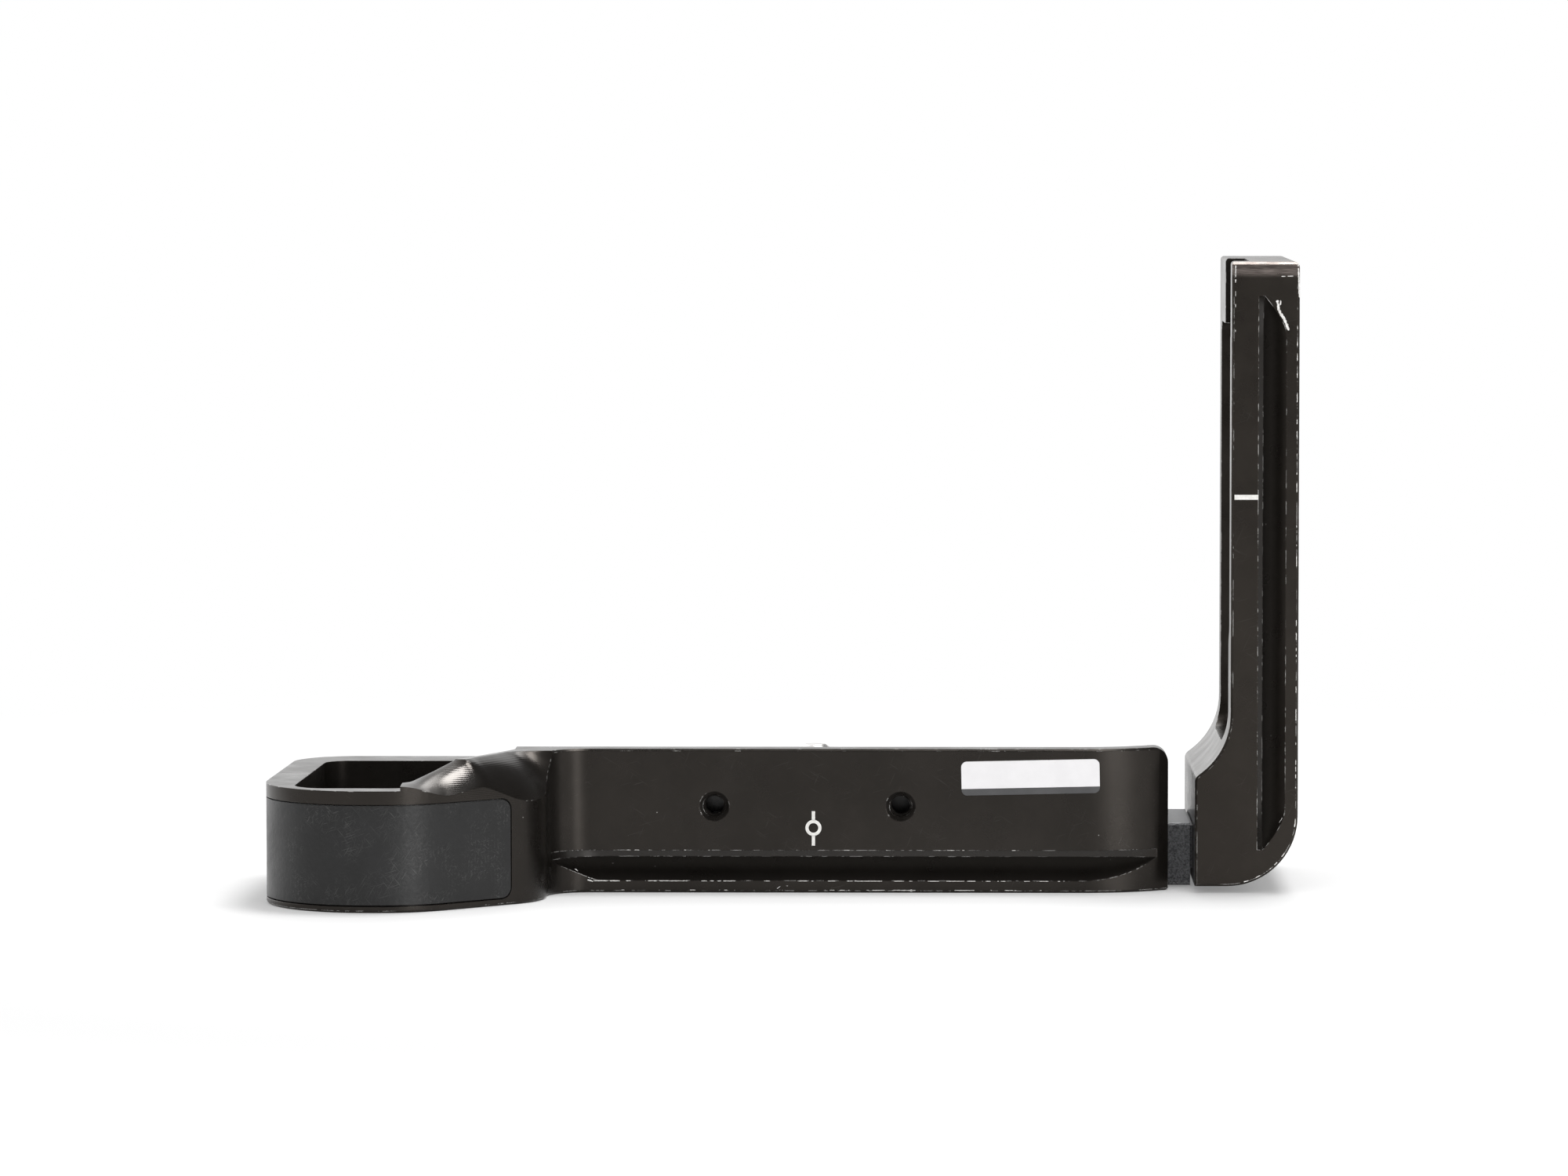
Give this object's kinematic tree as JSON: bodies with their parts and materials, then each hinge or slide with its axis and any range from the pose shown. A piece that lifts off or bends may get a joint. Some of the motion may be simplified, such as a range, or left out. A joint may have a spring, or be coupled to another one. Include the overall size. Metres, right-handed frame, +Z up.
{
  "type": "camera l-bracket",
  "caption": "Camera L-bracket with a dovetail base plate, a padded grip loop, a captive camera screw and an upright on a sliding, clamped bar.",
  "frame": {"origin": "middle of the bracket's footprint, on the surface that it stands on", "axes": "+X to the right as the lens side is seen, towards the upright; +Y away from the lens side; +Z up, out of the camera seat"},
  "size_m": [0.1466, 0.064, 0.0904],
  "materials": {
    "anodised_aluminium": "satin black anodised",
    "blasted_aluminium": "bead blasted and anodised dark grey",
    "plated_steel": "bright plated",
    "nylon": "plain black nylon",
    "grip_rubber": "dark grey rubber with a leather grain"
  },
  "bodies": {
    "base": {"base_plate": "anodised_aluminium", "grip_pad": "grip_rubber", "camera_screw_ring": "plated_steel"},
    "arm": {"slide_bar": "blasted_aluminium", "upright": "anodised_aluminium", "joint_screw_front": "plated_steel", "joint_screw_rear": "plated_steel"},
    "clamp_left": {"clamp_screw_left": "plated_steel", "clamp_washer_left": "plated_steel"},
    "clamp_right": {"clamp_screw_right": "plated_steel", "clamp_washer_right": "plated_steel"},
    "screw_carrier": {"camera_screw_washer": "nylon"},
    "screw": {"camera_screw": "plated_steel"}
  },
  "joints": [
    {"name": "arm_slide", "type": "slide", "parent": "base", "child": "arm", "axis": [1, 0, 0], "range_m": [-0.0034, 0.012]},
    {"name": "clamp_left_turn", "type": "hinge", "parent": "base", "child": "clamp_left", "pos_m": [0.03625, 0.01305, 0.004], "axis": [0, 0, 1], "continuous": true},
    {"name": "clamp_right_turn", "type": "hinge", "parent": "base", "child": "clamp_right", "pos_m": [0.04725, 0.01305, 0.004], "axis": [0, 0, 1], "continuous": true},
    {"name": "screw_float", "type": "slide", "parent": "base", "child": "screw_carrier", "axis": [0, 0, 1], "range_m": [0, 0.0024]},
    {"name": "screw_turn", "type": "hinge", "parent": "screw_carrier", "child": "screw", "pos_m": [0.00405, 0.01305, 0.004], "axis": [0, 0, 1], "continuous": true}
  ]
}
